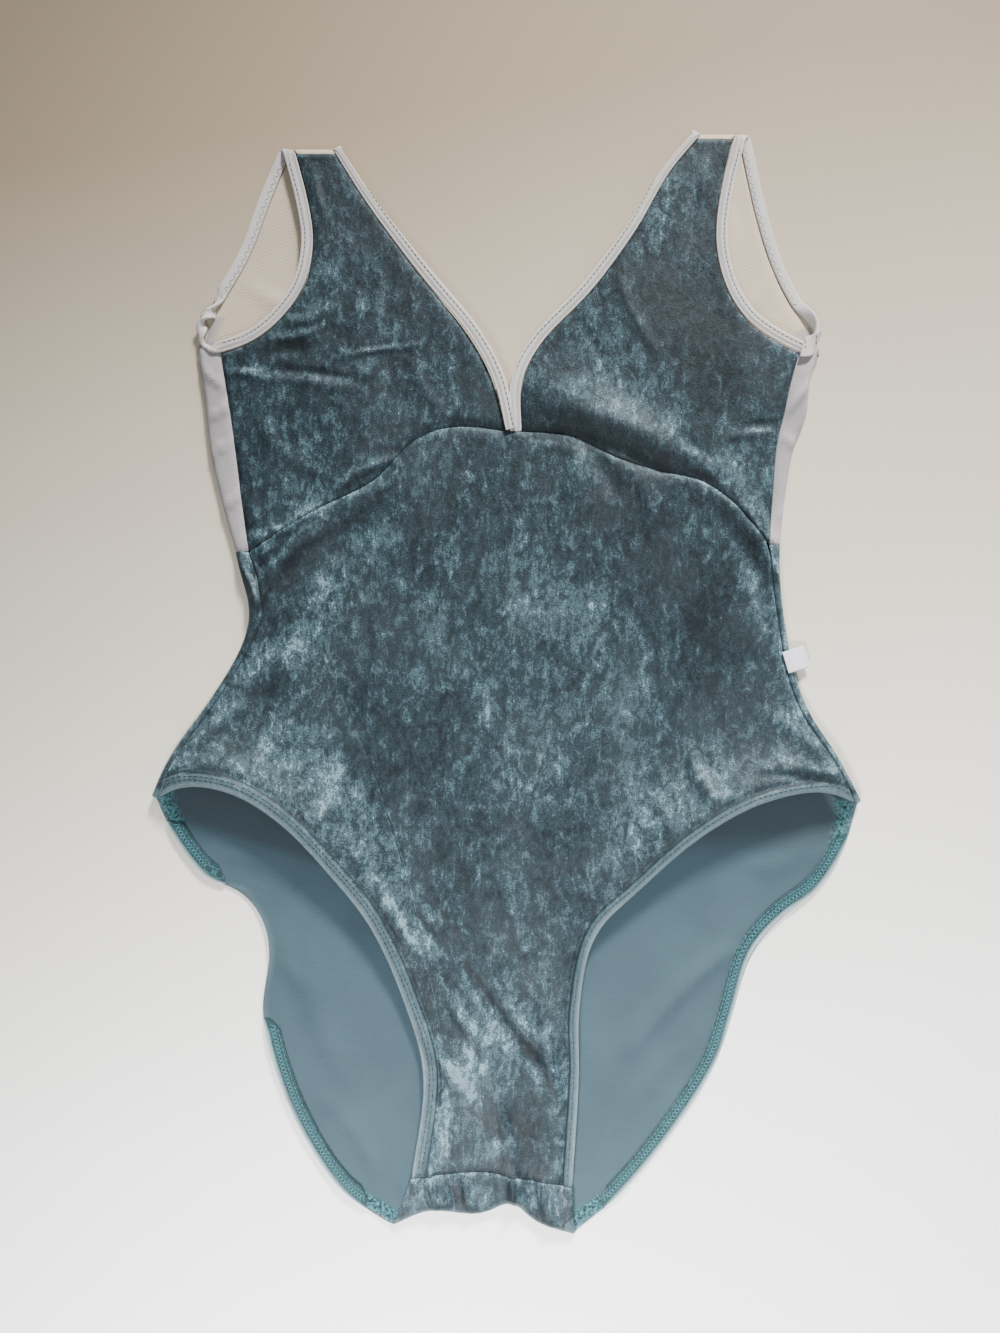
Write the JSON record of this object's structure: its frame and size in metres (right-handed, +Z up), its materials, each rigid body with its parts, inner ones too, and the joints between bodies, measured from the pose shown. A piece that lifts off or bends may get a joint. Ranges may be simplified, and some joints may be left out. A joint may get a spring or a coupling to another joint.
{
  "type": "sleeveless dance leotard laid flat",
  "caption": "Sleeveless leotard laid flat, face up, with a V neck, bound armholes, high-cut hemmed legs, velvet front and lower back, and a plain light yoke behind.",
  "frame": {"origin": "middle of the bounding box's underside, on the surface that the garment lies on", "axes": "+Y from the crotch towards the neck, +Z up out of the surface, through the front of the garment"},
  "size_m": [0.4024, 0.6278, 0.0146],
  "materials": {
    "velvet": "crushed velvet, blue grey",
    "yoke": "fine light stretch knit",
    "binding": "smooth white stretch binding",
    "hem": "turned velvet, teal",
    "label": "plain white satin tape"
  },
  "bodies": {
    "root": {"cup_left": "velvet", "cup_right": "velvet", "front_body": "velvet", "back_lower": "velvet", "back_yoke": "yoke", "neck_binding": "binding", "armhole_binding_left": "binding", "armhole_binding_right": "binding", "binding_join_right": "binding", "hem_front_left": "hem", "hem_front_right": "hem", "hem_back_left_upper": "hem", "hem_back_left_lower": "hem", "hem_back_right": "hem", "side_label": "label"}
  },
  "joints": []
}
